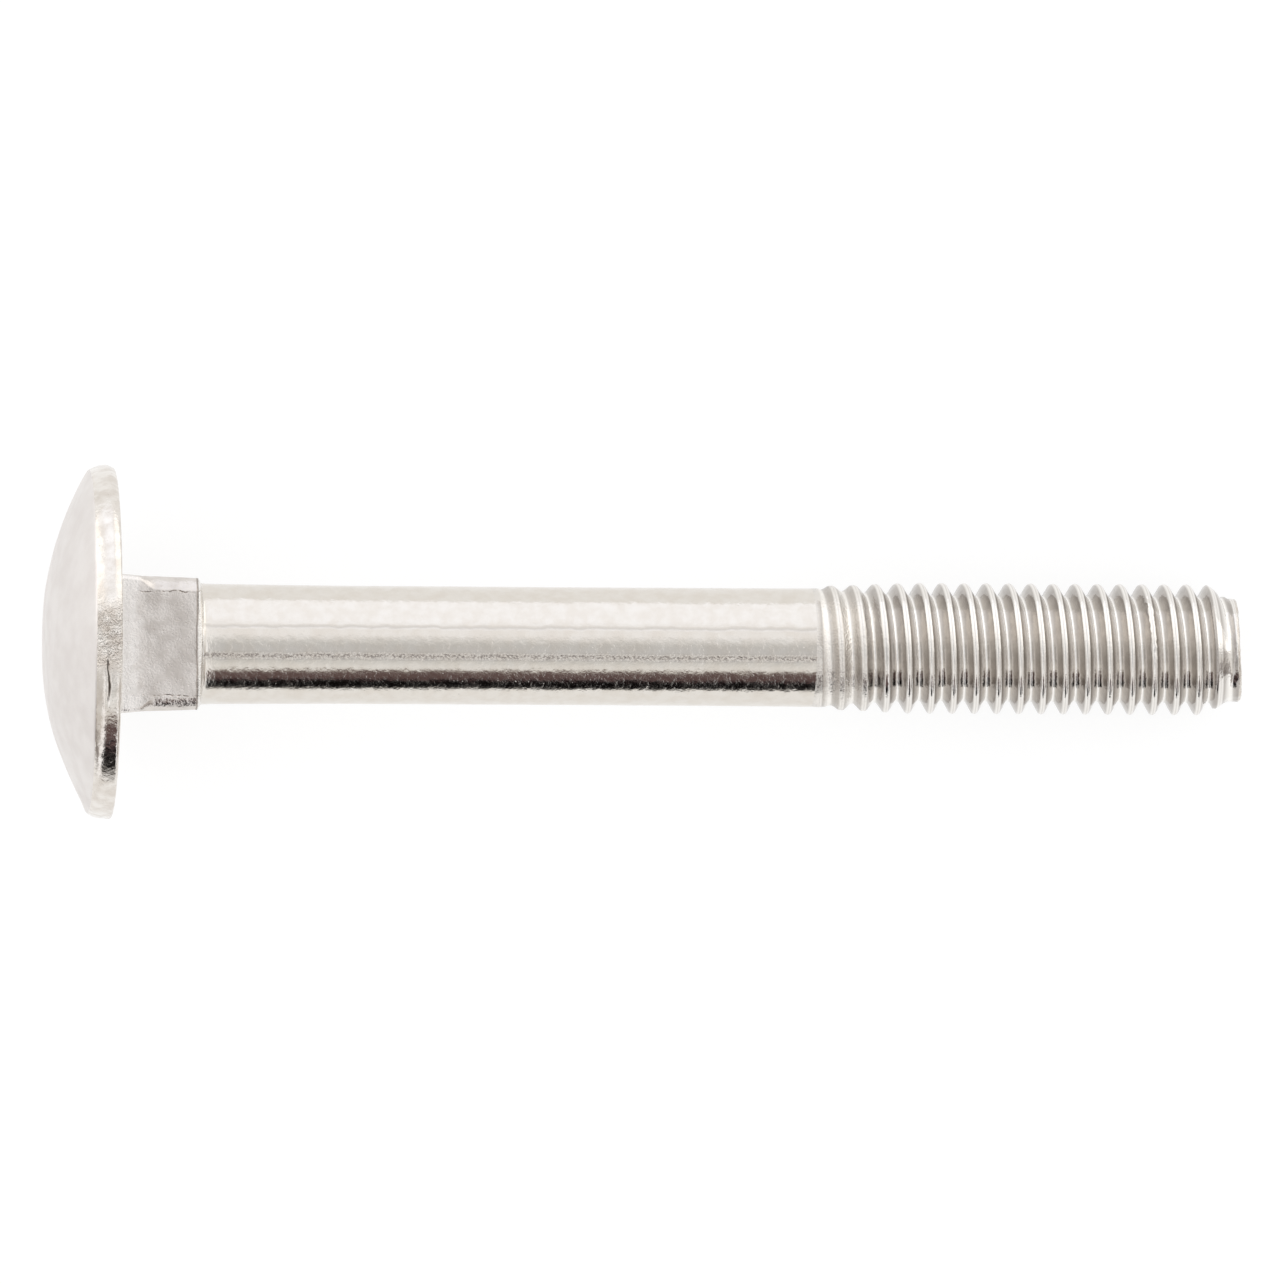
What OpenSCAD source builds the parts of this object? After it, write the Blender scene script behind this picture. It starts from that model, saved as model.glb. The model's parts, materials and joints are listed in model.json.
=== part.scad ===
// Carriage bolt, M6 x 50: mushroom head, square neck, reduced shank and rolled thread.
// One forged and rolled piece. It lies as it comes to rest: on the edge of its head and on one crest
// of its thread, with its length along X, the head at -X and the origin under the middle of its box.

/* [Head] */
// Diameter of the head
head_d = 15.9; // [13:0.1:20]
// Height of the head from its seat to the top of the dome
head_h = 3.2; // [2.8:0.05:5]
// Height of the upright rim between the seat and the dome
rim_h = 1.05; // [0.9:0.05:1.6]
// Radius of the edge between the dome and the rim
dome_edge_r = 0.45; // [0.2:0.05:0.5]
// Radius of the edge between the rim and the seat
seat_edge_r = 0.25; // [0.2:0.05:0.45]

/* [Square neck] */
// Width of the neck across its flats, beside the head
neck_w = 6.04; // [5.8:0.02:7.5]
// Length of the neck from the seat to its shoulder
neck_l = 3.85; // [2.6:0.05:6]
// Radius of the four upright edges of the neck
neck_corner_r = 0.6; // [0.4:0.05:1.2]
// How far each flat draws in along the neck
neck_draft = 0.09; // [0.02:0.01:0.12]
// Radius of the fillet between the neck and the seat
neck_fillet_r = 0.4; // [0.3:0.05:1.1]
// Radius of the edge between a flat and the shoulder
shoulder_edge_r = 0.28; // [0.1:0.02:0.4]
// Slope of the shoulder, in degrees back from square
shoulder_slope = 8; // [2:1:20]

/* [Shank] */
// Length from the seat to the tip
bolt_l = 50.4; // [35:0.1:90]
// Diameter of the plain shank
shank_d = 5.35; // [5.1:0.01:5.6]

/* [Thread] */
// Diameter over the crests of the thread
thread_d = 5.88; // [5.7:0.01:6.2]
// Pitch of the thread
pitch = 1; // [0.75:0.05:1.25]
// Length of the thread, with its run-out
thread_l = 19; // [12:0.1:28]
// Length over which the thread rises out of the shank
run_out = 1.5; // [0.5:0.1:3]
// Distance from the tip to the last crest that the bolt lies on
crest_back = 1.75; // [1:0.05:2.5]
// How far the face of the tip lies inside the root of the thread
tip_inset = 0.13; // [0.04:0.01:0.4]
// Slope of the chamfer at the tip, in degrees from the axis
tip_slope = 32; // [20:1:50]
// Bevel on the edge of the tip's face
tip_bevel = 0.12; // [0.04:0.01:0.3]

/* [Hidden] */

$fn = 96;
head_r = head_d / 2;
shank_r = shank_d / 2;
thread_r = thread_d / 2;
flat_to_flat = neck_w / 2;
neck_lap = 0.5;
head_seam = 240;

// The dome is a cap of a sphere that would meet the rim at its upper edge
dome_rise = head_h - rim_h;
dome_r = (head_r * head_r + dome_rise * dome_rise) / (2 * dome_rise);
dome_z = dome_r - head_h;

// Centre of the round edge that touches both the dome and the rim
dome_edge_x = head_r - dome_edge_r;
dome_edge_z = dome_z - sqrt(pow(dome_r - dome_edge_r, 2) - pow(dome_edge_x, 2));
dome_touch_x = dome_edge_x * dome_r / (dome_r - dome_edge_r);

// ISO 68-1 form with a round root, each point as [share of the pitch, share of the depth]
thread_form = [[-0.11, 0.08], [0, 0], [0.11, 0.08], [0.375, 0.885], [0.5, 1], [0.625, 0.885]];
thread_depth = 17 / 24 * sqrt(3) / 2 * pitch;
thread_sides = 28;
form_n = len(thread_form);

thread_start = bolt_l - thread_l;
thread_lap = 0.3;
start_gap = 0.02;
core_r = shank_r - 0.01;
tip_r = thread_r - thread_depth - tip_inset;
tip_z = bolt_l - tip_bevel;
first_z = thread_start + start_gap;

// Row 0 starts two turns before the thread, so that every column has a row to start from
last_crest_z = bolt_l - crest_back;
turns_back = ceil((last_crest_z - first_z) / pitch) + 2;
turns = turns_back + ceil(crest_back / pitch) + 1;
row_n = turns * form_n;

// Turn from the lowest line of the thread to a column; the floor touches midway between two columns
function column_turn(column) = (column + 0.5) / thread_sides;

// Height of a row of the thread on one of its columns, before it is cut off at the ends
function free_z(row, column) =
    last_crest_z + pitch * (floor(row / form_n) - turns_back
        + thread_form[row % form_n][0] + column_turn(column));

function cut_z(z) = min(tip_z, max(first_z, z));

// Share of the full form that the thread has reached at a height
function risen(z) = min(1, max(0, (z - first_z) / run_out));

// Radius of the thread at a row, faded into the shank at one end and chamfered at the other
function row_r(row, z) =
    let(full_r = thread_r - thread_depth * thread_form[row % form_n][1],
        faded_r = core_r + (full_r - core_r) * risen(z),
        chamfer_r = tip_r + (tip_z - z) * tan(tip_slope))
    min(faded_r, chamfer_r);

// First and last row of a column that lie inside the thread's length
function low_row(column) = max([for (row = [0 : row_n - 1]) if (free_z(row, column) <= first_z) row]);
function high_row(column) = min([for (row = [0 : row_n - 1]) if (free_z(row, column) >= tip_z) row]);
low_rows = [for (column = [0 : thread_sides - 1]) low_row(column)];
high_rows = [for (column = [0 : thread_sides - 1]) high_row(column)];

// Number of the point at a row and column; the column after the last is the first, one turn on
function point_at(row, column) =
    column == thread_sides
        ? point_at(row + form_n, 0)
        : min(high_rows[column], max(low_rows[column], row)) * thread_sides + column;

function on_column(column, r, z) =
    let(angle = 360 * column_turn(column))
    [r * cos(angle), r * sin(angle), z];

function ring(r, z) = [for (column = [0 : thread_sides - 1]) on_column(column, r, z)];

function next(column) = (column + 1) % thread_sides;

// Angle of the bolt's axis to the floor at which a point this far below the axis touches the floor
function touch_angle(z, below) =
    let(fall = head_r - seat_edge_r - below,
        reach = seat_edge_r + z)
    acos(-seat_edge_r / norm([fall, reach])) - atan2(reach, fall);

lie_angle = min([for (row = [0 : row_n - 1])
    let(z = cut_z(free_z(row, 0)))
    touch_angle(z, on_column(0, row_r(row, z), z)[0])]);
lift = (head_r - seat_edge_r) * cos(lie_angle) - seat_edge_r * sin(lie_angle) + seat_edge_r;
dome_end_x = dome_z * cos(lie_angle) - dome_r;
tip_end_x = bolt_l * cos(lie_angle) + (tip_r - tip_bevel) * sin(lie_angle);
shift = -(dome_end_x + tip_end_x) / 2;

// Half of the head's section: the dome, the round edges, the rim and the flat seat
module head_section() {
    intersection() {
        translate([0, dome_z]) circle(dome_r);
        translate([0, -head_h]) square([dome_touch_x, head_h]);
    }
    translate([dome_edge_x, dome_edge_z]) circle(dome_edge_r);
    translate([0, dome_edge_z]) square([head_r, -dome_edge_z - seat_edge_r]);
    translate([head_r - seat_edge_r, -seat_edge_r]) circle(seat_edge_r);
    translate([0, dome_edge_z]) square([head_r - seat_edge_r, -dome_edge_z]);
}

// The revolve is turned so that its seam is clear of the floor
module head() {
    rotate([0, 0, head_seam]) rotate_extrude() head_section();
}

module rounded_square(w, r) {
    square([w - 2 * r, w], center = true);
    square([w, w - 2 * r], center = true);
    for (x = [-1, 1], y = [-1, 1])
        translate([x * (w / 2 - r), y * (w / 2 - r)]) circle(r);
}

// Side view of the neck: straight beside the head, drawn in along the flats, round at the shoulder
module neck_side() {
    far_w = flat_to_flat - neck_draft;
    edge_z = neck_l - shoulder_edge_r;
    polygon([
        [-flat_to_flat, -neck_lap], [-flat_to_flat, neck_fillet_r], [-far_w, edge_z],
        [far_w, edge_z], [flat_to_flat, neck_fillet_r], [flat_to_flat, -neck_lap]
    ]);
    for (x = [-1, 1])
        translate([x * (far_w - shoulder_edge_r), edge_z]) circle(shoulder_edge_r);
    translate([shoulder_edge_r - far_w, edge_z - neck_lap])
        square([2 * (far_w - shoulder_edge_r), shoulder_edge_r + neck_lap]);
}

module neck_side_bar() {
    rotate([90, 0, 0])
        translate([0, 0, -neck_w])
            linear_extrude(2 * neck_w) neck_side();
}

// The shoulder falls back from the shank towards the corners of the square
module shoulder_limit() {
    far_r = neck_w;
    rotate_extrude()
        polygon([
            [0, -neck_lap], [far_r, -neck_lap],
            [far_r, neck_l - (far_r - shank_r) * tan(shoulder_slope)],
            [shank_r, neck_l], [0, neck_l]
        ]);
}

// Section of the fillet, from the flat of the neck outwards along the seat
module fillet_section(inner) {
    difference() {
        translate([-inner, -neck_lap]) square([inner + neck_fillet_r, neck_lap + neck_fillet_r]);
        translate([neck_fillet_r, neck_fillet_r]) circle(neck_fillet_r);
    }
}

module neck_fillet() {
    corner = flat_to_flat - neck_corner_r;
    for (side = [0 : 3])
        rotate([0, 0, 90 * side]) {
            translate([flat_to_flat, corner, 0])
                rotate([90, 0, 0])
                    linear_extrude(2 * corner) fillet_section(neck_corner_r / 2);
            translate([corner, corner, 0])
                rotate_extrude(angle = 90)
                    translate([neck_corner_r, 0]) fillet_section(neck_corner_r / 2);
        }
}

module neck() {
    intersection() {
        translate([0, 0, -neck_lap])
            linear_extrude(neck_l + neck_lap) rounded_square(neck_w, neck_corner_r);
        neck_side_bar();
        rotate([0, 0, 90]) neck_side_bar();
        shoulder_limit();
    }
    neck_fillet();
}

module shank() {
    translate([0, 0, -neck_lap]) cylinder(h = thread_start + neck_lap, r = shank_r);
}

// The thread is one surface over rows that follow the helix and columns that run along the bolt
module thread() {
    rows = [for (row = [0 : row_n - 1], column = [0 : thread_sides - 1])
        let(z = cut_z(free_z(row, column)))
        on_column(column, row_r(row, z), z)];
    root_ring = len(rows);
    face_ring = root_ring + thread_sides;
    root_centre = face_ring + thread_sides;
    face_centre = root_centre + 1;
    points = concat(
        rows,
        ring(core_r, thread_start - thread_lap),
        ring(tip_r - tip_bevel, bolt_l),
        [[0, 0, thread_start - thread_lap], [0, 0, bolt_l]]
    );
    helix_faces = [for (column = [0 : thread_sides - 1], row = [0 : row_n - 2])
        let(a = point_at(row, column),
            b = point_at(row + 1, column),
            c = point_at(row + 1, column + 1),
            d = point_at(row, column + 1))
        each [if (a != b && b != c) [a, b, c], if (c != d && d != a) [a, c, d]]];
    root_faces = [for (column = [0 : thread_sides - 1])
        let(a = root_ring + column,
            b = point_at(0, column),
            c = point_at(0, next(column)),
            d = root_ring + next(column))
        each [[a, b, c], [a, c, d], [root_centre, a, d]]];
    face_faces = [for (column = [0 : thread_sides - 1])
        let(a = point_at(row_n - 1, column),
            b = face_ring + column,
            c = face_ring + next(column),
            d = point_at(row_n - 1, next(column)))
        each [[a, b, c], [a, c, d], [face_centre, c, b]]];
    polyhedron(points, concat(helix_faces, root_faces, face_faces));
}

module carriage_bolt() {
    color("silver")
        translate([shift, 0, lift])
            rotate([0, 90 + lie_angle, 0]) {
                head();
                neck();
                shank();
                thread();
            }
}

carriage_bolt();
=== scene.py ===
import json
import math

import bpy
import numpy as np
from mathutils import Matrix, Vector, noise


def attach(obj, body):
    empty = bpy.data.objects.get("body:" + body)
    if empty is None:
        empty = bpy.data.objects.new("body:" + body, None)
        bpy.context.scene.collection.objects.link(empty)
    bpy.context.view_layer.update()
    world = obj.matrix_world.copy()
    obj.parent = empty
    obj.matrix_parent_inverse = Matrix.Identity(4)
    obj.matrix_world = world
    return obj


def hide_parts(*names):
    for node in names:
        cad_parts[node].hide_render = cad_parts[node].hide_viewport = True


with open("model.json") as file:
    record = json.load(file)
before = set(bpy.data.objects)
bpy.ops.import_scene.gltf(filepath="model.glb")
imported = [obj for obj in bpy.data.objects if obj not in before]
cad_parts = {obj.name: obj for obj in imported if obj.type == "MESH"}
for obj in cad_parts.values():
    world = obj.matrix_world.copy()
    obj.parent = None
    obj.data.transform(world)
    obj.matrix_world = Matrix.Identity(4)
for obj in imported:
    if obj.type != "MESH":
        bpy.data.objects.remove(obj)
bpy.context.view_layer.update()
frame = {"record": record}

scene = bpy.context.scene
mm = 0.001

# Where the bolt lies: its mounts give its axis and its seat, the plane under the head
mounts = {mount["name"]: mount for mount in frame["record"]["mounts"]}
alongBolt = Vector(mounts["square_neck"]["axis"]).normalized()
acrossBolt = Vector((0, 1, 0))
belowBolt = acrossBolt.cross(alongBolt)
neckLength = mounts["square_neck"]["dims"]["length_mm"]
threadLength = mounts["thread"]["dims"]["length_mm"]
seatPoint = Vector(mounts["square_neck"]["pos_m"]) - alongBolt * (neckLength / 2 * mm)
tipPoint = Vector(mounts["thread"]["pos_m"]) + alongBolt * (threadLength / 2 * mm)
boltLength = (tipPoint - seatPoint).length / mm

# Sizes of the bolt are in millimetres. A place on it is (along, below, across), with along
# counted from the seat to the tip. A turn round it is 0 below, 90 at +Y, 180 on top, 270 at -Y.
columns = 144
unpaintedLightLevel = 0.6                  # painted light level of the metal where no row of the thread paints its own highlight or shade
skin = {"points": [], "zones": [], "tones": [], "faces": [], "faceZones": [], "last": None}


def smooth(low, high, values):
    t = np.clip((np.asarray(values, float) - low) / (high - low), 0, 1)
    return t * t * (3 - 2 * t)


def arc(alongCentre, outCentre, radius, start, end, steps):
    # a round edge of the profile; its angles go from the tip's direction outwards
    turns = np.radians(np.linspace(start, end, steps + 1))
    return [(alongCentre + radius * math.cos(t), outCentre + radius * math.sin(t)) for t in turns]


def stretch(start, end, step):
    start, end = np.array(start, float), np.array(end, float)
    count = max(1, round(np.linalg.norm(end - start) / step))
    return [tuple(start + (end - start) * i / count) for i in range(count + 1)]


def evenTurns(count):
    return 2 * math.pi * np.arange(count) / count


def roundRing(along, radius, turns):
    here = np.full(len(turns), float(along))
    return np.stack([here, radius * np.cos(turns), radius * np.sin(turns)], axis=1)


def addPoints(points, zone, tones=unpaintedLightLevel):
    first = len(skin["zones"])
    skin["points"].append(np.asarray(points, float))
    skin["zones"] += [zone] * len(points)
    skin["tones"] += list(np.broadcast_to(tones, len(points)))
    return list(range(first, first + len(points)))


def addFaces(faces, zone):
    skin["faces"] += faces
    skin["faceZones"] += [zone] * len(faces)


def joinRings(low, high, zone):
    # rings of as many points give quads; otherwise one ring has twice the points of the other
    m, k = len(low), len(high)
    faces = []
    if m == k:
        faces = [(low[j], low[(j + 1) % m], high[(j + 1) % m], high[j]) for j in range(m)]
    elif k == 2 * m:
        for j in range(m):
            a, d = low[j], low[(j + 1) % m]
            b, middle, c = high[2 * j], high[2 * j + 1], high[(2 * j + 2) % k]
            faces += [(a, d, middle), (d, c, middle), (a, middle, b)]
    else:
        for j in range(k):
            a, middle, d = low[2 * j], low[2 * j + 1], low[(2 * j + 2) % m]
            b, c = high[j], high[(j + 1) % k]
            faces += [(a, middle, b), (middle, d, c), (middle, c, b)]
    addFaces(faces, zone)


def addRing(points, zone):
    ids = addPoints(points, zone)
    if skin["last"] is not None:
        joinRings(skin["last"], ids, zone)
    skin["last"] = ids


# Head
head = {
    "radius": 7.86,
    "height": 3.16,
    "domeRadius": 15.46,
    "crownWear": 0.075,          # the crown is worn flat by this much
    "crownWearRadius": 2.6,
    "domeEdge": 0.42,            # round edge between dome and rim
    "seatEdge": 0.15,            # round edge between rim and seat
    "rimRound": 1.3,             # the rim swells in an arc of this radius
    "rimMiddle": -0.4,
    "offCentre": 0.08,           # the head sits this far towards +Y
    "offCentreFades": (-0.4, 0),
    "skew": 0.004,               # and its rim leans towards the tip by this share on that side
    "skewStarts": (-1.4, -0.7),
    "skewGrows": (4.5, 6.5),     # over these radii of the seat
    "flatSide": 0.09,            # the dome is this much flatter on the other side
    "flatSideGrows": (3.4, 6.5),
    "flatSideFades": (-1.5, -0.8),
    "columns": 288,
    "crownColumns": 18,
    "crownRings": (0.08, 0.18),  # radii of the first two rings
    "columnsDouble": (0.35, 1.9),  # from this radius, and again each time it grows by this much
    "domeStep": 0.14,
    "rimStep": 0.045,
    "seatStep": 0.25,
    "seatRoundTo": 5.9,          # the seat's rings are round down to this radius
}


def outerMeeting(first, firstRadius, second, secondRadius):
    # of the two points where these circles meet, the one further out
    (x1, y1), (x2, y2) = first, second
    apart = math.hypot(x2 - x1, y2 - y1)
    along = (apart ** 2 + firstRadius ** 2 - secondRadius ** 2) / (2 * apart)
    aside = math.sqrt(firstRadius ** 2 - along ** 2)
    ux, uy = (x2 - x1) / apart, (y2 - y1) / apart
    meetings = [(x1 + ux * along - uy * s, y1 + uy * along + ux * s) for s in (aside, -aside)]
    return max(meetings, key=lambda point: point[1])


def layDome():
    full = head["columns"]
    ball = head["domeRadius"]
    edge = head["domeEdge"]
    centreAlong = ball - head["height"]
    rimAlong, rimOut = head["rimMiddle"], head["radius"] - head["rimRound"]
    edgeAlong, edgeOut = outerMeeting(
        (rimAlong, rimOut), head["rimRound"] - edge, (centreAlong, 0), ball - edge)
    touchTurn = math.atan2(edgeOut, centreAlong - edgeAlong)
    rimTurn = math.degrees(math.atan2(edgeOut - rimOut, edgeAlong - rimAlong))
    top = -head["height"] + head["crownWear"]
    # the crown's rings have fewer columns, so that its faces stay wide
    fewest = count = head["crownColumns"]
    firstDouble, growth = head["columnsDouble"]
    crown = addPoints([(top, 0, 0)], "dome")[0]
    firstRadius, radius = head["crownRings"]
    first = addPoints(roundRing(top, firstRadius, evenTurns(count)), "dome")
    addFaces([(crown, first[(j + 1) % count], first[j]) for j in range(count)], "dome")
    skin["last"] = first
    while radius < ball * math.sin(touchTurn) - head["domeStep"] / 2:
        if count < full and radius > firstDouble * growth ** math.log2(count / fewest):
            count *= 2
        sag = ball - math.sqrt(ball * ball - radius * radius)
        worn = head["crownWear"] * float(1 - smooth(0, head["crownWearRadius"], radius))
        addRing(roundRing(-head["height"] + sag + worn, radius, evenTurns(count)), "dome")
        radius += head["domeStep"] * min(1, 0.5 + radius / 2)
    for along, out in arc(edgeAlong, edgeOut, edge, 180 - math.degrees(touchTurn), rimTurn, 6):
        zone = "dome" if along < edgeAlong - edge * 0.6 else "rim"
        addRing(roundRing(along, out, evenTurns(full)), zone)
    return rimTurn


def layRim(startTurn):
    turns = evenTurns(head["columns"])
    ball, edge = head["rimRound"], head["seatEdge"]
    rimAlong, rimOut = head["rimMiddle"], head["radius"] - head["rimRound"]
    edgeOut = rimOut + math.sqrt((ball - edge) ** 2 - (edge + rimAlong) ** 2)
    endTurn = math.degrees(math.atan2(edgeOut - rimOut, -edge - rimAlong))
    steps = round(math.radians(startTurn - endTurn) * ball / head["rimStep"])
    for along, out in arc(rimAlong, rimOut, ball, startTurn, endTurn, steps)[1:]:
        addRing(roundRing(along, out, turns), "rim")
    for along, out in arc(-edge, edgeOut, edge, endTurn, 0, 5)[1:]:
        addRing(roundRing(along, out, turns), "rim")
    for along, out in stretch((0, edgeOut), (0, head["seatRoundTo"]), head["seatStep"])[1:]:
        addRing(roundRing(along, out, turns), "seat")


# Square neck
neck = {
    "halfWidth": 3.028,
    "farHalfWidth": 2.92,
    "flare": 0.05,               # it swells by this much beside the head
    "flareFades": (0.3, 1.3),
    "sharpCorner": 0.2,
    "corner": 0.58,
    "cornerTurn": 22,            # degrees by which a corner breaks from its flat
    "cornerGrows": (1.0, 1.7),   # the corners round off over this stretch
    "fillet": 0.34,
    "seatCircle": 5.5,           # the seat goes over from this radius to the square
    "shoulderEdge": 0.2,
    "shoulderSlope": 8,
    "lipHeight": 0.03,
    "step": 0.1,
    "pointsPerHalfFlat": 10,
    "pointsPerCorner": 16,
}


def squareRing(along, halfWidth, corner):
    # a rounded square that starts in the middle of its lower flat
    perHalfFlat, perCorner = neck["pointsPerHalfFlat"], neck["pointsPerCorner"]
    flat = halfWidth - corner
    onFlat = [flat * math.sin(math.pi / 2 * i / perHalfFlat) for i in range(perHalfFlat + 1)]
    first = math.radians(neck["cornerTurn"])
    radius = corner / (math.cos(first) - math.sin(first))
    centre = halfWidth - radius * math.cos(first)
    quarter = [(halfWidth, place) for place in onFlat]
    for i in range(1, perCorner):
        turn = first + (math.pi / 2 - 2 * first) * i / perCorner
        quarter.append((centre + radius * math.cos(turn), centre + radius * math.sin(turn)))
    quarter += [(place, halfWidth) for place in onFlat[:0:-1]]
    quarter = np.array(quarter)
    ring = []
    below, across = quarter.T
    for c, s in ((1, 0), (0, 1), (-1, 0), (0, -1)):
        ring.append(np.stack([below * c - across * s, below * s + across * c], axis=1))
    ring = np.concatenate(ring)
    return np.concatenate([np.full((len(ring), 1), float(along)), ring], axis=1)


def turnsOf(ring):
    return np.unwrap(np.arctan2(ring[:, 2], ring[:, 1]))


def neckCorner(along):
    grown = float(smooth(*neck["cornerGrows"], along))
    return neck["sharpCorner"] + (neck["corner"] - neck["sharpCorner"]) * grown


def layNeck():
    # the seat goes over from a circle to the square, then up the fillet and along the flats
    fillet = neck["fillet"]
    besideHead = neck["halfWidth"] + neck["flare"]
    outer = squareRing(0, besideHead + fillet, neck["sharpCorner"] + fillet)
    for share in np.linspace(1, 0, 8):
        turns = turnsOf(outer) + (evenTurns(columns) - turnsOf(outer)) * share
        addRing(outer * (1 - share) + roundRing(0, neck["seatCircle"], turns) * share, "seat")
    for turn in np.radians(np.linspace(90, 0, 7))[1:]:
        out = fillet * (1 - math.cos(turn))
        along = fillet * (1 - math.sin(turn))
        addRing(squareRing(along, besideHead + out, neckCorner(along) + out), "neck")
    edge = neck["shoulderEdge"]
    startFlat, endFlat = (fillet, neck["halfWidth"]), (neckLength - edge, neck["farHalfWidth"])
    for along, halfWidth in stretch(startFlat, endFlat, neck["step"])[1:]:
        swollen = halfWidth + neck["flare"] * float(1 - smooth(*neck["flareFades"], along))
        addRing(squareRing(along, swollen, neckCorner(along)), "neck")
    # the shoulder: a round edge with a low lip, then a slope down to the shank
    shankRadius = shank["radii"][0]
    slope = math.tan(math.radians(neck["shoulderSlope"]))
    for turn in np.radians(np.linspace(0, 90, 6))[1:]:
        inset = edge * (1 - math.cos(turn))
        ring = squareRing(0, neck["farHalfWidth"] - inset, neck["corner"] - inset)
        out = np.hypot(ring[:, 1], ring[:, 2])
        ring[:, 0] = neckLength - edge * (1 - math.sin(turn)) - (out - shankRadius) * slope
        addRing(ring, "neck")
    turns = turnsOf(ring)
    for share in (0.3, 0.6, 0.88, 1):
        between = ring * (1 - share) + roundRing(0, shankRadius, turns) * share
        out = np.hypot(between[:, 1], between[:, 2])
        between[:, 0] = neckLength - (out - shankRadius) * slope + neck["lipHeight"] * smooth(0.6, 1, share)
        addRing(between, "neck")
    return turns


# Plain shank
shank = {
    "places": [3.7, 4.0, 4.4, 6.0, 10.0, 22.0, 29.0, 31.4],
    "radii": [2.75, 2.7, 2.68, 2.665, 2.635, 2.63, 2.64, 2.65],
    "starts": 0.06,              # its first ring, past the shoulder
    "step": 0.27,
    "stopsShort": 0.1,           # of the thread's first points
    "evensOutOver": 2.5,         # the columns leave the square's spacing over this stretch
}


def layShank(squareTurns):
    along = neckLength + shank["starts"]
    while along < thread["start"] - shank["stopsShort"]:
        even = float(smooth(0, shank["evensOutOver"], along - neckLength))
        turns = squareTurns + (evenTurns(columns) - squareTurns) * even
        radius = np.interp(along, shank["places"], shank["radii"])
        addRing(roundRing(along, radius, turns), "shank")
        along += shank["step"] * min(1, 0.3 + (along - neckLength) / 1.5)


# Rolled thread: right hand, 1 mm pitch, with round crests and roots
thread = {
    "start": 31.45,
    "crestRadius": 2.933,
    "pitch": 1.0,
    "crestRound": 0.17,
    "rootRound": 0.1,
    "roundTurns": (0, 20, 40, 60),  # degrees of a crest's points; the flanks are at the last
    "depth": 0.596,
    "crestBack": 1.59,           # from the tip to a crest on the underside
    "risesOver": (0, 0.5, 1.7, 2.7, 4.2),
    "crestRise": (0, 0.45, 0.57, 0.79, 1),
    "rootRise": (0, 0.2, 0.57, 0.75, 1),
    "seam": 0.07,                # depth of the seam along the first crests
    "seamFades": (33.0, 35.5),
    # painted highlights and painted shade at each point of one pitch, from a crest over a root to the next
    # crest: painted glints beside the crest and at the root, painted shade on the flanks, darker on one flank
    # than the other
    "tones": (0.6, 0.85, 0.55, 0.18, 0.65, 1.0, 0.95, 0.3, 0.1, 0.17, 0.6, 0.85),
    "notch": 0.05,
    "notchPlace": 31.68,
    "notchWidth": 0.07,
    "tipRadius": 2.3,
    "tipLand": 0.5,
    "tipSlope": 34,
    "tipBevel": 0.15,
}


def threadForm():
    # one pitch from crest to crest, as (share of the pitch, drop from the crest, painted light level)
    crest, root = thread["crestRound"], thread["rootRound"]
    pitch, depth = thread["pitch"], thread["depth"]
    half = []
    for t in np.radians(thread["roundTurns"]):
        half.append((crest * math.sin(t), crest * (1 - math.cos(t))))
    rootStart = (pitch / 2 - root * math.sin(t), depth - root * (1 - math.cos(t)))
    half.append(((half[-1][0] + rootStart[0]) / 2, (half[-1][1] + rootStart[1]) / 2))
    half += [rootStart, (pitch / 2, depth)]
    form = half + [(pitch - place, drop) for place, drop in half[1:-1][::-1]]
    return [(*point, tone) for point, tone in zip(form, thread["tones"])]


def threadRadius(drop, along):
    seam = thread["seam"] * (1 - smooth(*thread["seamFades"], along))
    full = thread["crestRadius"] - drop - np.where(drop == 0, seam, 0)
    core = shank["radii"][-1]
    past = along - thread["start"]
    rising = np.where(full > core, np.interp(past, thread["risesOver"], thread["crestRise"]),
                      np.interp(past, thread["risesOver"], thread["rootRise"]))
    notch = thread["notch"] * np.exp(-((along - thread["notchPlace"]) / thread["notchWidth"]) ** 2)
    beforeLand = np.maximum(0, boltLength - thread["tipLand"] - along)
    chamfer = thread["tipRadius"] + beforeLand * math.tan(math.radians(thread["tipSlope"]))
    return np.minimum(core + (full - core) * rising - notch, chamfer)


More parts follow.
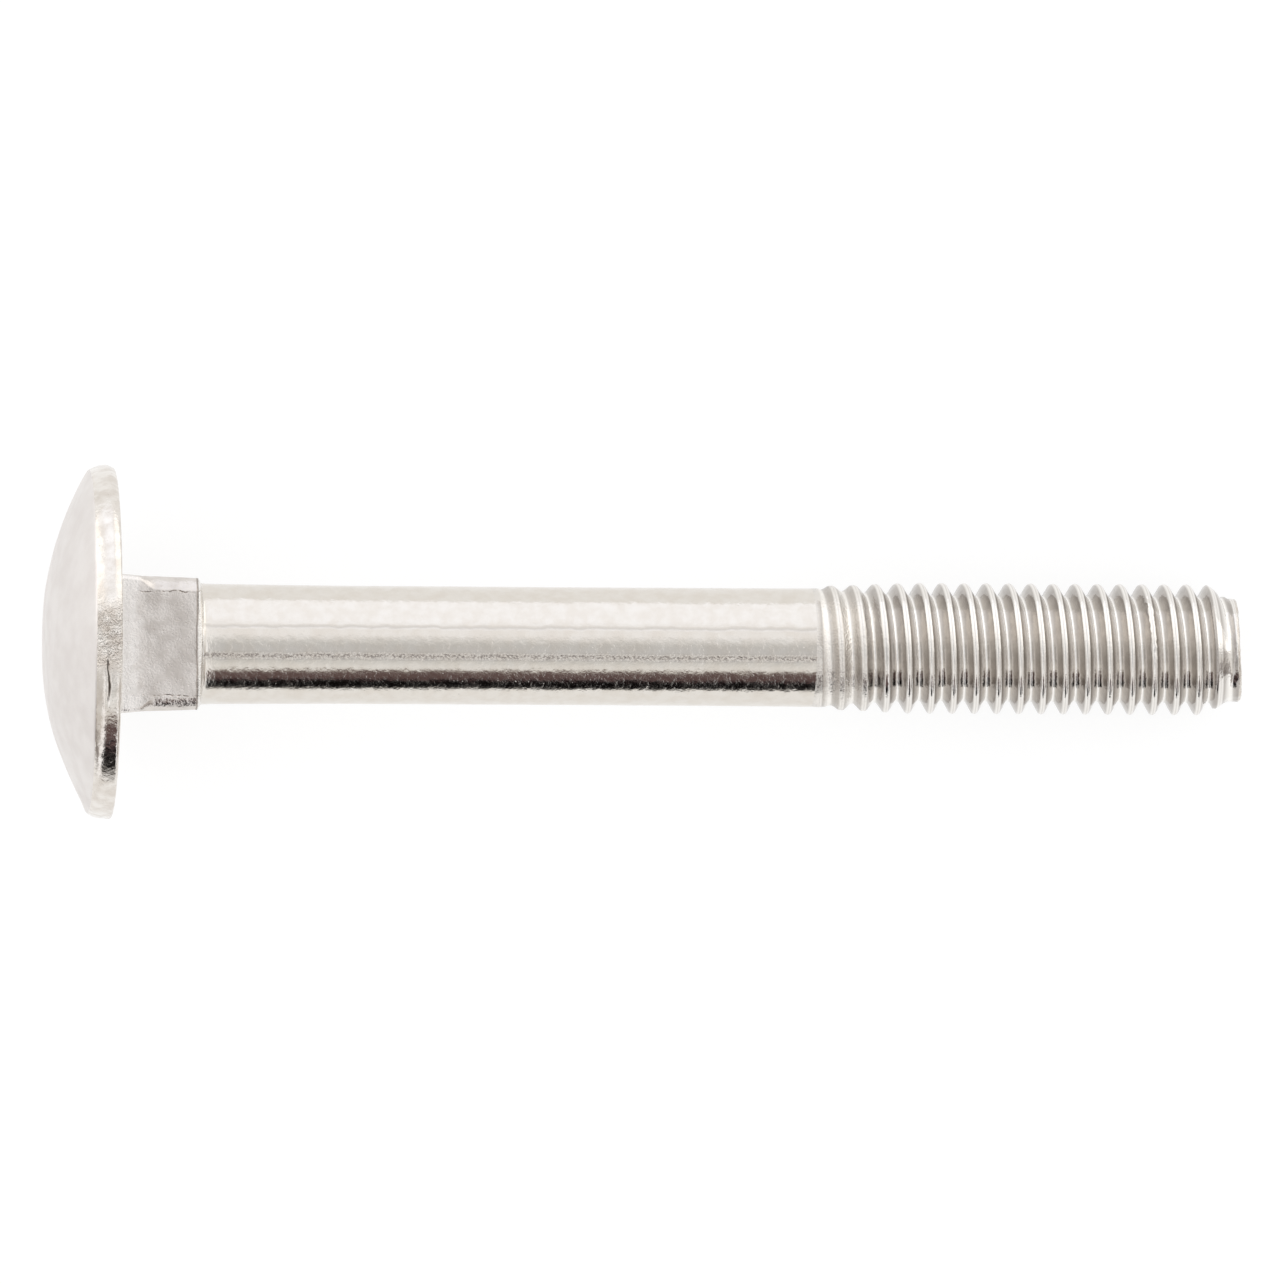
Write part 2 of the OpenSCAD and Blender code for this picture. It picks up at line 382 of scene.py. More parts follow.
def layThread():
    # rows follow the helix, and each column keeps the rows between the thread's two ends
    form = threadForm()
    perTurn = len(form)
    pitch = thread["pitch"]
    end = boltLength - thread["tipBevel"]
    turnsBack = math.ceil((boltLength - thread["start"]) / pitch) + 2
    rows = np.arange((turnsBack + 4) * perTurn)
    places = np.array([form[r % perTurn][0] + pitch * (r // perTurn - turnsBack) for r in rows])
    drops = np.array([form[r % perTurn][1] for r in rows])
    tones = np.array([form[r % perTurn][2] for r in rows])
    lows, highs, ids = [], [], []
    for j, turn in enumerate(evenTurns(columns)):
        free = boltLength - thread["crestBack"] + places + pitch * j / columns
        low = int(np.max(rows[free <= thread["start"]]))
        high = int(np.min(rows[free >= end]))
        along = np.clip(free[low:high + 1], thread["start"], end)
        radius = threadRadius(drops[low:high + 1], along)
        points = np.stack([along, radius * math.cos(turn), radius * math.sin(turn)], axis=1)
        ids.append(addPoints(points, "thread", tones[low:high + 1]))
        lows.append(low)
        highs.append(high)

    def pointAt(row, j):
        if j == columns:
            row, j = row + perTurn, 0
        return ids[j][min(highs[j], max(lows[j], row)) - lows[j]]

    faces = []
    for j in range(columns):
        for row in range(min(lows) - 1, max(highs) + 1):
            a, b = pointAt(row, j), pointAt(row + 1, j)
            d, c = pointAt(row, j + 1), pointAt(row + 1, j + 1)
            if a == b and c == d:
                continue
            if a == b:
                faces.append((a, d, c))
            elif c == d:
                faces.append((a, d, b))
            else:
                faces.append((a, d, c, b))
    addFaces(faces, "thread")
    joinRings(skin["last"], [column[0] for column in ids], "thread")
    skin["last"] = [column[-1] for column in ids]


def layTip():
    bevel = thread["tipBevel"]
    radius = thread["tipRadius"]
    for turn in np.radians([18, 36, 54, 72, 90]):
        along, out = boltLength - bevel * (1 - math.sin(turn)), radius - bevel * (1 - math.cos(turn))
        addRing(roundRing(along, out, evenTurns(columns)), "tip")
    # the end face's rings have fewer and fewer columns
    count = columns
    for share in (0.94, 0.88, 0.82, 0.75, 0.68, 0.6, 0.5, 0.4, 0.3, 0.2, 0.1):
        if share in (0.68, 0.4, 0.2):
            count //= 2
        addRing(roundRing(boltLength, (radius - bevel) * share, evenTurns(count)), "tip")
    centre = addPoints([(boltLength, 0, 0)], "tip")[0]
    last = skin["last"]
    addFaces([(last[j], last[(j + 1) % count], centre) for j in range(count)], "tip")


layRim(layDome())
layShank(layNeck())
layThread()
layTip()
places = np.concatenate(skin["points"])
zones = np.array(skin["zones"])
print("skin laid:", len(places), "points,", sum(len(face) - 2 for face in skin["faces"]), "triangles")

# Forging marks, dents and rough edges, in millimetres. Degrees are counted from the top of the
# bolt, towards -Y.
wear = {
    "domeWaves": 0.003,
    "domeWaveSize": 1.2,
    "domeDent": {"below": -1.6, "across": 0.28, "depth": 0.035, "width": 0.3, "height": 0.5},
    "rimHammered": 0.03,
    "rimHammeredFrom": (-13, 7),
    "rimElsewhere": 0.3,         # share of the hammering on the rest of the rim
    "rimCrease": {"along": -0.62, "from": 5, "to": 20, "depth": 0.05, "width": 0.055,
                  "wavers": (0.12, 0.04)},
    "neckCornerPits": 0.018,
    "neckCornerPitsFrom": (0.5, 1.2),
    "neckFlatWaves": 0.004,
    "neckFlatWaveSize": 0.6,
    "lipWaves": 0.03,
    "lipWaveSize": 0.45,
    "lipReaches": (0.45, 0.1),   # back from the shoulder: where the waves start, and are full
    "shankWaves": 0.0025,
    "shankWaveSize": 0.7,
    "threadWaves": 0.004,
    "threadWaveSize": 0.25,
    "threadStartWaves": 0.014,   # the first crests are rougher
    "threadStartUntil": (33.2, 35.5),
    "threadNick": {"along": 46.3, "from": -58, "to": 8, "slant": 0.004, "depth": 0.06, "width": 0.22},
    "tipPits": 0.035,
    "tipPitsReach": (1.0, 0.4),  # back from the tip: where the pits start, and are full
    "tipCutReaches": 0.6,
    "tipShort": 0.14,            # the tip is cut off short by this much
    "tipSlant": 0.05,            # shorter by this share of the way towards +Y
    "tipSides": 0.03,            # and longer by this much times the square of the way to its sides
}


def bumps(points, size, seed):
    # smooth noise from -1 to 1, with waves of about this size
    shift = Vector((seed * 7.31, seed * 3.17, seed * 5.73))
    return np.array([noise.noise(Vector(p) / size + shift) for p in points])


def band(low, high, edge, values):
    return smooth(low - edge, low + edge, values) * (1 - smooth(high - edge, high + edge, values))


def reliefOf(places, zones):
    # how far each point moves out, and how much painted shade its crease gets
    along, below, across = places.T
    fromTop = np.degrees(np.arctan2(-across, -below))
    relief, creaseShade = np.zeros(len(places)), np.zeros(len(places))

    here = zones == "dome"
    dent = wear["domeDent"]
    relief[here] = wear["domeWaves"] * bumps(places[here], wear["domeWaveSize"], 1)
    aside, up = (across - dent["across"]) / dent["width"], (below - dent["below"]) / dent["height"]
    relief -= np.where(here, dent["depth"] * np.exp(-aside ** 2 - up ** 2), 0)

    here = zones == "rim"
    low, high = wear["rimHammeredFrom"]
    strength = wear["rimElsewhere"] + (1 - wear["rimElsewhere"]) * band(low, high, 5, fromTop[here])
    relief[here] = wear["rimHammered"] * strength * (
        0.6 * bumps(places[here], 0.42, 2) + 0.5 * bumps(places[here], 0.2, 3))
    crease = wear["rimCrease"]
    wide, fine = crease["wavers"]
    wobble = wide * bumps(places[here], 0.7, 4) + fine * bumps(places[here], 0.25, 14)
    off = (along[here] - crease["along"] + wobble) / crease["width"]
    inCrease = np.exp(-off ** 2) * band(crease["from"], crease["to"], 3, fromTop[here])
    relief[here] -= crease["depth"] * inCrease
    # the crease gets painted shade, deepest at its middle
    creaseShade[here] = smooth(0.3, 0.9, inCrease)

    here = zones == "neck"
    inset = neck["farHalfWidth"] - np.minimum(abs(below[here]), abs(across[here]))
    onCorner = 1 - smooth(0.35, 0.8, inset)
    onCorner *= smooth(*wear["neckCornerPitsFrom"], along[here])
    relief[here] = wear["neckFlatWaves"] * bumps(places[here], wear["neckFlatWaveSize"], 5)
    relief[here] += wear["neckCornerPits"] * onCorner * (
        0.6 * bumps(places[here], 0.3, 6) + 0.6 * bumps(places[here], 0.14, 7))

    here = zones == "shank"
    relief[here] = wear["shankWaves"] * bumps(places[here], wear["shankWaveSize"], 8)

    here = zones == "thread"
    rougher = wear["threadStartWaves"] * (1 - smooth(*wear["threadStartUntil"], along[here]))
    relief[here] = (wear["threadWaves"] + rougher) * bumps(places[here], wear["threadWaveSize"], 9)
    nick = wear["threadNick"]
    off = (along[here] - nick["along"] - nick["slant"] * fromTop[here]) / nick["width"]
    inNick = np.exp(-off ** 2) * band(nick["from"], nick["to"], 4, fromTop[here])
    relief[here] -= nick["depth"] * inNick * (0.5 + bumps(places[here], 0.16, 10))

    start, full = wear["tipPitsReach"]
    nearTip = smooth(boltLength - start, boltLength - full, along)
    here = nearTip > 0
    relief[here] += wear["tipPits"] * nearTip[here] * (
        0.5 * bumps(places[here], 0.3, 11) + 0.5 * bumps(places[here], 0.13, 12))
    return relief, creaseShade


def inFrame(points):
    basis = np.array([alongBolt, belowBolt, acrossBolt])
    return np.array(seatPoint) + (points @ basis) * mm


# the head sits off centre, the shoulder's lip is wavy, and the tip is cut off at a slant
shaped = places.copy()
along, below, across = places.T
shaped[:, 2] += head["offCentre"] * (1 - smooth(*head["offCentreFades"], along))
leaning = smooth(*head["skewStarts"], along) * smooth(*head["skewGrows"], np.hypot(below, across))
shaped[:, 0] += head["skew"] * across * leaning * (along <= 0)
flatter = smooth(*head["flatSideGrows"], -across) * (1 - smooth(*head["flatSideFades"], along))
shaped[:, 0] += head["flatSide"] * flatter
start, full = wear["lipReaches"]
lip = (zones == "neck") * smooth(neckLength - start, neckLength - full, along)
onLip = lip > 0
shaped[onLip, 0] += wear["lipWaves"] * lip[onLip] * bumps(places[onLip], wear["lipWaveSize"], 13)
cut = wear["tipShort"] + wear["tipSlant"] * across - wear["tipSides"] * across ** 2
shaped[:, 0] -= cut * smooth(boltLength - wear["tipCutReaches"], boltLength, along)

boltMesh = bpy.data.meshes.new("carriageBoltSteel")
boltMesh.from_pydata(inFrame(shaped), [], skin["faces"])
boltMesh.update()
normals = np.zeros(len(places) * 3)
boltMesh.vertices.foreach_get("normal", normals)
relief, creaseShade = reliefOf(places, zones)
reliefPlaces = inFrame(shaped) + normals.reshape(-1, 3) * (relief * mm)[:, None]
boltMesh.vertices.foreach_set("co", reliefPlaces.ravel())
boltMesh.update()
boltMesh.shade_smooth()
# each point's painted light level: painted highlights and painted shade on the thread, painted shade in the
# rim's crease
paintedLightLayer = boltMesh.attributes.new("tone", "FLOAT", "POINT")
paintedLightLayer.data.foreach_set("value", np.array(skin["tones"], float) * (1 - creaseShade))
bolt = bpy.data.objects.new("carriageBoltSteel", boltMesh)
scene.collection.objects.link(bolt)
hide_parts("carriage_bolt")
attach(bolt, "root")
print("marks and dents set")


# Shader groups. Each takes and gives plain values, and is placed in the finishes below.
def newGroup(name, inputs, outputs):
    group = bpy.data.node_groups.new(name, "ShaderNodeTree")
    for socket, kind, value in inputs:
        made = group.interface.new_socket(socket, in_out="INPUT", socket_type=kind)
        if value is not None:
            made.default_value = value
    for socket, kind in outputs:
        group.interface.new_socket(socket, in_out="OUTPUT", socket_type=kind)
    return group, group.nodes.new("NodeGroupInput").outputs, group.nodes.new("NodeGroupOutput").inputs


def feed(tree, socket, value):
    if isinstance(value, bpy.types.NodeSocket):
        tree.links.new(value, socket)
    else:
        socket.default_value = value


def math2(tree, operation, a, b=0.0, clamp=False):
    node = tree.nodes.new("ShaderNodeMath")
    node.operation = operation
    node.use_clamp = clamp
    feed(tree, node.inputs[0], a)
    feed(tree, node.inputs[1], b)
    return node.outputs[0]


def noiseAt(tree, vector, scale, detail=2.0, roughness=0.5):
    node = tree.nodes.new("ShaderNodeTexNoise")
    feed(tree, node.inputs["Vector"], vector)
    feed(tree, node.inputs["Scale"], scale)
    node.inputs["Detail"].default_value = detail
    node.inputs["Roughness"].default_value = roughness
    return node.outputs["Fac"]


def rangeOf(tree, value, fromLow, fromHigh, toLow=0.0, toHigh=1.0, kind="SMOOTHSTEP"):
    node = tree.nodes.new("ShaderNodeMapRange")
    node.interpolation_type = kind
    for socket, number in (("Value", value), ("From Min", fromLow), ("From Max", fromHigh),
                           ("To Min", toLow), ("To Max", toHigh)):
        feed(tree, node.inputs[socket], number)
    return node.outputs["Result"]


def makePlaceGroup():
    # the place on the bolt in millimetres: along it, across it towards +Y, and up from its axis
    group, _, result = newGroup("placeOnBolt", [], [("Place", "NodeSocketVector")])
    coords = group.nodes.new("ShaderNodeTexCoord")
    turned = group.nodes.new("ShaderNodeMapping")
    lean = math.atan2(-alongBolt.z, alongBolt.x)
    turned.inputs["Rotation"].default_value = (0, -lean, 0)
    turned.inputs["Scale"].default_value = (1 / mm,) * 3
    turned.inputs["Location"].default_value = Matrix.Rotation(-lean, 3, "Y") @ (-seatPoint / mm)
    group.links.new(coords.outputs["Object"], turned.inputs["Vector"])
    group.links.new(turned.outputs[0], result["Place"])
    return group


def makeMottleGroup():
    # soft clouds of this size, as a value from low to high
    group, given, result = newGroup(
        "mottle",
        [("Place", "NodeSocketVector", None), ("Size", "NodeSocketFloat", 0.3),
         ("Low", "NodeSocketFloat", 0.0), ("High", "NodeSocketFloat", 1.0)],
        [("Value", "NodeSocketFloat")])
    cloud = noiseAt(group, given["Place"], math2(group, "DIVIDE", 1.0, given["Size"]), 3)
    group.links.new(rangeOf(group, cloud, 0.3, 0.7, given["Low"], given["High"]), result["Value"])
    return group


def makePitsGroup():
    # small sharp pits: a mask that is 1 in a pit
    group, given, result = newGroup(
        "pits",
        [("Place", "NodeSocketVector", None), ("Size", "NodeSocketFloat", 0.3),
         ("Share", "NodeSocketFloat", 0.3)],
        [("Mask", "NodeSocketFloat")])
    scale = math2(group, "DIVIDE", 1.0, given["Size"])
    cells = group.nodes.new("ShaderNodeTexVoronoi")
    group.links.new(given["Place"], cells.inputs["Vector"])
    group.links.new(scale, cells.inputs["Scale"])
    frayed = noiseAt(group, given["Place"], math2(group, "MULTIPLY", scale, 2.6))
    edge = math2(group, "ADD", cells.outputs["Distance"], math2(group, "MULTIPLY", frayed, 0.5))
    cut = math2(group, "ADD", given["Share"], 0.25)
    low, high = math2(group, "SUBTRACT", cut, 0.06), math2(group, "ADD", cut, 0.06)
    inside = rangeOf(group, edge, low, high, 1.0, 0.0)
    patches = noiseAt(group, given["Place"], math2(group, "MULTIPLY", scale, 0.35))
    gather = rangeOf(group, patches, 0.42, 0.6)
    group.links.new(math2(group, "MULTIPLY", inside, gather), result["Mask"])
    return group


def makeSeamGroup():
    # a thin wavering line along the bolt, at an angle from its top towards -Y
    group, given, result = newGroup(
        "seamLine",
        [("Place", "NodeSocketVector", None), ("Degrees", "NodeSocketFloat", 0.0),
         ("Width", "NodeSocketFloat", 2.0), ("Waver", "NodeSocketFloat", 1.0)],
        [("Mask", "NodeSocketFloat")])
    split = group.nodes.new("ShaderNodeSeparateXYZ")
    group.links.new(given["Place"], split.inputs[0])
    turn = math2(group, "ARCTAN2", math2(group, "MULTIPLY", split.outputs["Y"], -1.0), split.outputs["Z"])
    degrees = math2(group, "MULTIPLY", turn, 180 / math.pi)
    waver = math2(group, "MULTIPLY", math2(group, "SUBTRACT", noiseAt(group, given["Place"], 1.3, 4), 0.5),
                  given["Waver"])
    wavering = math2(group, "ADD", degrees, waver)
    off = math2(group, "ABSOLUTE", math2(group, "SUBTRACT", wavering, given["Degrees"]))
    group.links.new(rangeOf(group, off, 0.0, given["Width"], 1.0, 0.0), result["Mask"])
    return group


def makeCornerGroup():
    # the square neck's corners: a mask that is 1 there, and 1 on the thin line where they begin
    group, given, result = newGroup(
        "squareCorner",
        [("Place", "NodeSocketVector", None), ("From", "NodeSocketFloat", 2.2),
         ("Waver", "NodeSocketFloat", 0.1), ("Line Width", "NodeSocketFloat", 0.05)],
        [("Mask", "NodeSocketFloat"), ("Line", "NodeSocketFloat")])
    split = group.nodes.new("ShaderNodeSeparateXYZ")
    group.links.new(given["Place"], split.inputs[0])
    nearest = math2(group, "MINIMUM", math2(group, "ABSOLUTE", split.outputs["Y"]),
                    math2(group, "ABSOLUTE", split.outputs["Z"]))
    waver = math2(group, "MULTIPLY", math2(group, "SUBTRACT", noiseAt(group, given["Place"], 2.2, 4), 0.5),
                  given["Waver"])
    past = math2(group, "SUBTRACT", math2(group, "ADD", nearest, waver), given["From"])
    group.links.new(rangeOf(group, past, 0.0, given["Line Width"]), result["Mask"])
    line = rangeOf(group, math2(group, "ABSOLUTE", past), 0.0, given["Line Width"], 1.0, 0.0)
    broken = rangeOf(group, noiseAt(group, given["Place"], 3.5, 3), 0.42, 0.6)
    group.links.new(math2(group, "MULTIPLY", line, broken), result["Line"])
    return group


def makeUpToGroup():
    # a patchy mask that is 1 from the head to this distance along the bolt
    group, given, result = newGroup(
        "upTo",
        [("Place", "NodeSocketVector", None), ("Until", "NodeSocketFloat", 1.2),
         ("Soft", "NodeSocketFloat", 0.3), ("Patchy", "NodeSocketFloat", 1.0)],
        [("Mask", "NodeSocketFloat")])
    split = group.nodes.new("ShaderNodeSeparateXYZ")
    group.links.new(given["Place"], split.inputs[0])
    patchy = math2(group, "MULTIPLY", math2(group, "SUBTRACT", noiseAt(group, given["Place"], 1.6, 4), 0.5),
                   given["Patchy"])
    past = math2(group, "SUBTRACT", math2(group, "ADD", split.outputs["X"], patchy), given["Until"])
    softBefore = math2(group, "MULTIPLY", given["Soft"], -1.0)
    group.links.new(rangeOf(group, past, softBefore, given["Soft"], 1.0, 0.0), result["Mask"])
    return group


groups = {
    "place": makePlaceGroup(),
    "mottle": makeMottleGroup(),
    "pits": makePitsGroup(),
    "seam": makeSeamGroup(),
    "corner": makeCornerGroup(),
    "upTo": makeUpToGroup(),
}

# Finish of each zone. Colours are linear; sizes and heights are in millimetres.
finishes = {
    "dome": {"colour": (0.785, 0.75, 0.725), "stain": (0.735, 0.695, 0.67), "roughness": (0.34, 0.42),
             "grain": (0.14, 0.0016), "waves": (0.8, 0.002), "pits": (0.5, 0.02, 0.004)},
    "rim": {"colour": (0.80, 0.765, 0.72), "stain": (0.68, 0.63, 0.575), "roughness": (0.07, 0.18),
            "grain": (0.1, 0.0015), "waves": (0.28, 0.006), "pits": (0.22, 0.1, 0.01)},
    "seat": {"colour": (0.74, 0.705, 0.67), "stain": (0.64, 0.59, 0.54), "roughness": (0.28, 0.4),
             "grain": (0.12, 0.003), "waves": (0.5, 0.006), "pits": (0.3, 0.12, 0.006)},
    "neck": {"colour": (0.7, 0.66, 0.625), "stain": (0.56, 0.52, 0.485), "roughness": (0.2, 0.34),
             "grain": (0.09, 0.005), "waves": (0.4, 0.006), "pits": (0.3, 0.12, 0.01)},
    "shank": {"colour": (0.73, 0.695, 0.645), "stain": (0.69, 0.645, 0.585), "roughness": (0.06, 0.14),
              "grain": (0.1, 0.001), "waves": (0.3, 0.004), "pits": (0.3, 0.04, 0.006)},
    "thread": {"colour": (0.75, 0.71, 0.665), "stain": (0.68, 0.63, 0.58), "roughness": (0.05, 0.1),
               "grain": (0.1, 0.002), "waves": (0.3, 0.004), "pits": (0.3, 0.05, 0.006)},
    "tip": {"colour": (0.73, 0.69, 0.645), "stain": (0.62, 0.56, 0.5), "roughness": (0.2, 0.36),
            "grain": (0.1, 0.004), "waves": (0.25, 0.01), "pits": (0.2, 0.25, 0.012)},
}
shankSeams = {
    "groove": {"degrees": -17.5, "width": 3.0, "waver": 6.0, "depth": 0.01, "colour": (0.61, 0.575, 0.53)},
    "rough": {"degrees": 11.0, "width": 4.5, "waver": 3.5, "depth": 0.03, "size": 0.1,
              "colour": (0.3, 0.27, 0.25)},
}
# the thread's colours by painted light level: painted shade on the flanks, painted highlights on crests and
# roots
threadFinish = {
    "dull": (0.3, 0.27, 0.245),
    "bright": (0.98, 0.955, 0.915),
    "dullRoughness": 0.12,
    "clouded": 0.2,              # share of the zone's own colour in the thread's painted highlights and painted shade
    "roughUntil": 33.6,          # the first turns are rougher and browner
    "roughSize": 0.09,
    "roughHeight": 0.011,
    "roughShare": 0.2,
    "roughColour": (0.72, 0.66, 0.57),
}
# near black: painted shade in the rim's crease
creaseShadeColour = (0.06, 0.045, 0.035)
hammered = {"degrees": -3.0, "width": 16.0, "waver": 6.0, "size": 0.1, "height": 0.09,
            "colour": (0.66, 0.6, 0.54)}
neckFinish = {
    "cornerFrom": 2.3,
    "cornerWaver": 0.3,
    "cornerRoughness": 0.07,
    "lineDepth": 0.03,           # a thin dark line goes round each flat
    "lineColour": (0.3, 0.26, 0.23),
    "lineWidth": 0.07,
    "paleUntil": 1.0,
    "pale": (0.76, 0.73, 0.70),
    "lipFrom": 3.62,
    # the lip past the shoulder's edge is painted brighter than the neck: a painted highlight along the rounded
    # edge
    "lip": (0.84, 0.815, 0.785),
    "lipPatchy": 0.15,
}


def placeGroup(tree, name, **values):
    node = tree.nodes.new("ShaderNodeGroup")
    node.node_tree = groups[name]
    for socket, value in values.items():
        feed(tree, node.inputs[socket], value)
    return node.outputs[0]


def mixColours(tree, share, a, b):
    node = tree.nodes.new("ShaderNodeMix")
    node.data_type = "RGBA"
    feed(tree, node.inputs["Factor"], share)
    feed(tree, node.inputs["A"], a)
    feed(tree, node.inputs["B"], b)
    return node.outputs["Result"]


def paintedLightInput(tree):
    attribute = tree.nodes.new("ShaderNodeAttribute")
    attribute.attribute_name = "tone"
    return attribute.outputs["Fac"]


def finishMaterial(zone):
    values = finishes[zone]
    made = bpy.data.materials.new(zone + "Steel")
    made.use_nodes = True
    tree = made.node_tree
    shader = tree.nodes["Principled BSDF"]
    shader.inputs["Metallic"].default_value = 1
    place = placeGroup(tree, "place")
    cloud = placeGroup(tree, "mottle", Place=place, Size=values["waves"][0] * 2, Low=0.0, High=1.0)
    pitSize, pitShare, pitDepth = values["pits"]
    pits = placeGroup(tree, "pits", Place=place, Size=pitSize, Share=pitShare)
    colour = mixColours(tree, cloud, (*values["colour"], 1), (*values["stain"], 1))
    roughness = placeGroup(tree, "mottle", Place=place, Size=values["waves"][0],
                           Low=values["roughness"][0], High=values["roughness"][1])
    grain = placeGroup(tree, "mottle", Place=place, Size=values["grain"][0], Low=0.0, High=values["grain"][1])
    waves = placeGroup(tree, "mottle", Place=place, Size=values["waves"][0], Low=0.0, High=values["waves"][1])
    height = math2(tree, "ADD", grain, waves)
    height = math2(tree, "SUBTRACT", height, math2(tree, "MULTIPLY", pits, pitDepth))
    if zone == "shank":
        groove, rough = shankSeams["groove"], shankSeams["rough"]
        line = placeGroup(tree, "seam", Place=place, Degrees=groove["degrees"], Width=groove["width"],
                          Waver=groove["waver"])
        height = math2(tree, "SUBTRACT", height, math2(tree, "MULTIPLY", line, groove["depth"]))
        colour = mixColours(tree, line, colour, (*groove["colour"], 1))
        line = placeGroup(tree, "seam", Place=place, Degrees=rough["degrees"], Width=rough["width"],
                          Waver=rough["waver"])
        specks = placeGroup(tree, "mottle", Place=place, Size=rough["size"], Low=0.0, High=1.0)
        specks = math2(tree, "MULTIPLY", line, specks)
        height = math2(tree, "SUBTRACT", height, math2(tree, "MULTIPLY", specks, rough["depth"]))
        colour = mixColours(tree, specks, colour, (*rough["colour"], 1))
    if zone == "rim":
        marks = placeGroup(tree, "seam", Place=place, Degrees=hammered["degrees"], Width=hammered["width"],
                           Waver=hammered["waver"])
        specks = placeGroup(tree, "mottle", Place=place, Size=hammered["size"], Low=0.0,
                            High=hammered["height"])
        height = math2(tree, "ADD", height, math2(tree, "MULTIPLY", marks, specks))
        colour = mixColours(tree, math2(tree, "MULTIPLY", marks, cloud), colour, (*hammered["colour"], 1))
        # the rim's crease is painted near black where its painted light level drops: painted shade
        colour = mixColours(tree, rangeOf(tree, paintedLightInput(tree), 0.0, unpaintedLightLevel), (*creaseShadeColour, 1), colour)
    if zone == "neck":
        beside = placeGroup(tree, "upTo", Place=place, Until=neckFinish["paleUntil"])
        colour = mixColours(tree, beside, colour, (*neckFinish["pale"], 1))
        corner = placeGroup(tree, "corner", Place=place, From=neckFinish["cornerFrom"],
                            Waver=neckFinish["cornerWaver"])
        away = math2(tree, "SUBTRACT", 1.0, beside)
        line = math2(tree, "MULTIPLY", corner.node.outputs["Line"], away)
        roughness = rangeOf(tree, corner, 0.0, 1.0, roughness, neckFinish["cornerRoughness"], "LINEAR")
        colour = mixColours(tree, line, colour, (*neckFinish["lineColour"], 1))
        height = math2(tree, "SUBTRACT", height, math2(tree, "MULTIPLY", line, neckFinish["lineDepth"]))
        beforeLip = placeGroup(tree, "upTo", Place=place, Until=neckFinish["lipFrom"], Soft=0.05,
                               Patchy=neckFinish["lipPatchy"])
        lineFrom = neckFinish["lipFrom"] - neckFinish["lineWidth"]
        beforeLine = placeGroup(tree, "upTo", Place=place, Until=lineFrom, Soft=0.04,
                                Patchy=neckFinish["lipPatchy"])
        # past the lip's start the neck takes the lip's brighter colour: a painted highlight
        colour = mixColours(tree, beforeLip, (*neckFinish["lip"], 1), colour)
        line = math2(tree, "SUBTRACT", beforeLip, beforeLine, clamp=True)
        colour = mixColours(tree, line, colour, (*neckFinish["lineColour"], 1))
    if zone == "thread":
        # the thread is painted from shade to highlight by each point's painted light level: painted glints on
        # crests and roots, painted shade on the flanks, not wear
        tone = paintedLightInput(tree)
        worn = mixColours(tree, tone, (*threadFinish["dull"], 1), (*threadFinish["bright"], 1))
        colour = mixColours(tree, math2(tree, "MULTIPLY", cloud, threadFinish["clouded"]), worn, colour)
        roughness = rangeOf(tree, tone, 0.0, 1.0, threadFinish["dullRoughness"], roughness, "LINEAR")
        start = placeGroup(tree, "upTo", Place=place, Until=threadFinish["roughUntil"], Soft=1.2, Patchy=2.0)
        specks = placeGroup(tree, "mottle", Place=place, Size=threadFinish["roughSize"], Low=0.0,
                            High=threadFinish["roughHeight"])
        height = math2(tree, "ADD", height, math2(tree, "MULTIPLY", start, specks))
        browner = math2(tree, "MULTIPLY", start, threadFinish["roughShare"])
        colour = mixColours(tree, browner, colour, (*threadFinish["roughColour"], 1))
    bump = tree.nodes.new("ShaderNodeBump")
    bump.inputs["Strength"].default_value = 1
    bump.inputs["Distance"].default_value = mm
    tree.links.new(height, bump.inputs["Height"])
    tree.links.new(bump.outputs[0], shader.inputs["Normal"])
    tree.links.new(colour, shader.inputs["Base Color"])
    tree.links.new(roughness, shader.inputs["Roughness"])
    return made


zoneNames = list(finishes)
for zone in zoneNames:
    boltMesh.materials.append(finishMaterial(zone))
boltMesh.polygons.foreach_set("material_index", [zoneNames.index(zone) for zone in skin["faceZones"]])
print("finishes set:", len(zoneNames))

# Floor: a pale sheet, white to the camera and in reflections, that keeps a soft shadow
floorSheet = {"radius": 0.078, "drop": 0.00002, "columns": 96, "colour": 0.25, "glow": 0.8}


def makeFloor():
    ring = [(floorSheet["radius"] * math.cos(t), floorSheet["radius"] * math.sin(t), -floorSheet["drop"])
            for t in evenTurns(floorSheet["columns"])]
    mesh = bpy.data.meshes.new("paleFloor")
    mesh.from_pydata(ring, [], [list(range(len(ring)))])
    made = bpy.data.objects.new("paleFloor", mesh)
    scene.collection.objects.link(made)
    material = bpy.data.materials.new("paleFloor")
    material.use_nodes = True
    tree = material.node_tree
    tree.nodes.clear()
    diffuse = tree.nodes.new("ShaderNodeBsdfDiffuse")
    diffuse.inputs["Color"].default_value = (*[floorSheet["colour"]] * 3, 1)
    glow = tree.nodes.new("ShaderNodeEmission")
    path = tree.nodes.new("ShaderNodeLightPath")
    seen = math2(tree, "MAXIMUM", path.outputs["Is Camera Ray"], path.outputs["Is Glossy Ray"])
    tree.links.new(math2(tree, "MULTIPLY", seen, floorSheet["glow"]), glow.inputs["Strength"])
    both = tree.nodes.new("ShaderNodeAddShader")
    tree.links.new(diffuse.outputs[0], both.inputs[0])
    tree.links.new(glow.outputs[0], both.inputs[1])
    out = tree.nodes.new("ShaderNodeOutputMaterial")
    tree.links.new(both.outputs[0], out.inputs["Surface"])
    mesh.materials.append(material)


makeFloor()

